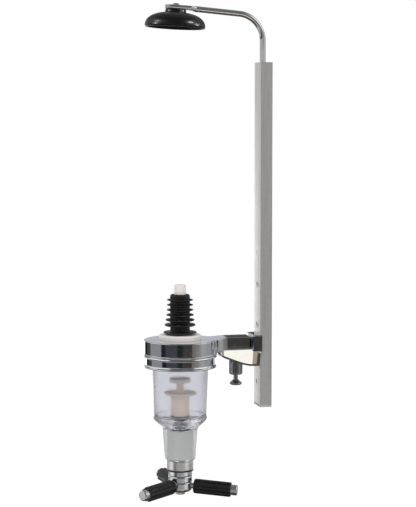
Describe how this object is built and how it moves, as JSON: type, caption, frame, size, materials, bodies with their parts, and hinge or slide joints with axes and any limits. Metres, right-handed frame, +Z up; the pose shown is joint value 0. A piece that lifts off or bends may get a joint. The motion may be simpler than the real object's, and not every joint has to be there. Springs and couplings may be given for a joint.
{
  "type": "liquor optic dispenser",
  "caption": "Wall-mounted spirit measure: a bar with a sprung bottle arm, a bracket with a lock pin, and a clear measuring chamber with three rubber-gripped levers.",
  "frame": {"origin": "on the wall plane, midway between the two wall screw holes", "axes": "+Z up along the bar, +Y into the wall, so the measure stands out towards -Y"},
  "size_m": [0.0842, 0.1226, 0.426],
  "materials": {
    "bar_aluminium": "fine brushed along its length",
    "cap_plastic": "moulded satin grey",
    "dark_plastic": "moulded satin black",
    "inner_plastic": "natural acetal",
    "spring_steel": "drawn wire",
    "plain_steel": "zinc plated",
    "rod_chrome": "polished plate",
    "cup_plastic": "gloss moulded black",
    "pin_steel": "turned and plated",
    "cast_chrome": "polished plated casting",
    "clear_plastic": "clear moulded",
    "black_rubber": "moulded satin",
    "white_plastic": "moulded white",
    "satin_metal": "satin anodised",
    "hub_chrome": "polished plate",
    "cream_plastic": "moulded cream",
    "seal_rubber": "natural rubber",
    "lever_metal": "turned"
  },
  "bodies": {
    "stand": {"wall_bar": "bar_aluminium", "bar_end_cap": "cap_plastic", "rod_bush": "dark_plastic", "spring_anchor": "inner_plastic", "arm_spring": "spring_steel", "bracket": "cast_chrome", "bracket_screws": "plain_steel", "pin_housing": "pin_steel", "pin_spring": "spring_steel", "clamp_ring": "cast_chrome", "threaded_collar": "cast_chrome", "measuring_chamber": "clear_plastic", "chamber_gasket": "black_rubber", "inlet_stem": "white_plastic", "stem_nut": "dark_plastic", "bottle_stopper": "black_rubber", "valve_housing": "satin_metal", "housing_washer": "black_rubber", "valve_spring": "spring_steel"},
    "arm_slider": {"rod_carrier": "inner_plastic", "spring_hook_pin": "plain_steel"},
    "arm": {"support_rod": "rod_chrome", "rod_retainer": "plain_steel", "bottle_cup": "cup_plastic", "cup_screw": "plain_steel", "cup_washer": "plain_steel", "cup_nut": "plain_steel"},
    "pull_pin": {"lock_pin": "pin_steel", "pin_knob": "pin_steel"},
    "spindle": {"spout_hub": "hub_chrome", "spindle_rod": "plain_steel", "displacer": "cream_plastic", "inlet_seal": "seal_rubber", "outlet_seal": "black_rubber", "lever_rod_1": "lever_metal", "lever_rod_2": "lever_metal", "lever_rod_3": "lever_metal", "lever_grip_1": "black_rubber", "lever_grip_2": "black_rubber", "lever_grip_3": "black_rubber"}
  },
  "joints": [
    {"name": "arm_slide", "type": "slide", "parent": "stand", "child": "arm_slider", "axis": [0, 0, 1], "range_m": [0, 0.07], "stiffness_N_per_m": 120, "springref_m": -0.03, "deforming": ["arm_spring"]},
    {"name": "arm_swivel", "type": "hinge", "parent": "arm_slider", "child": "arm", "pos_m": [0, -0.0062, 0.2], "axis": [0, 0, 1], "range_deg": [-70, 70]},
    {"name": "pin_pull", "type": "slide", "parent": "stand", "child": "pull_pin", "axis": [0, 0, -1], "range_m": [0, 0.0055], "stiffness_N_per_m": 700, "springref_m": -0.004, "deforming": ["pin_spring"]},
    {"name": "spindle_lift", "type": "slide", "parent": "stand", "child": "spindle", "axis": [0, 0, 1], "range_m": [0, 0.007], "stiffness_N_per_m": 600, "springref_m": -0.006, "deforming": ["valve_spring"]}
  ]
}
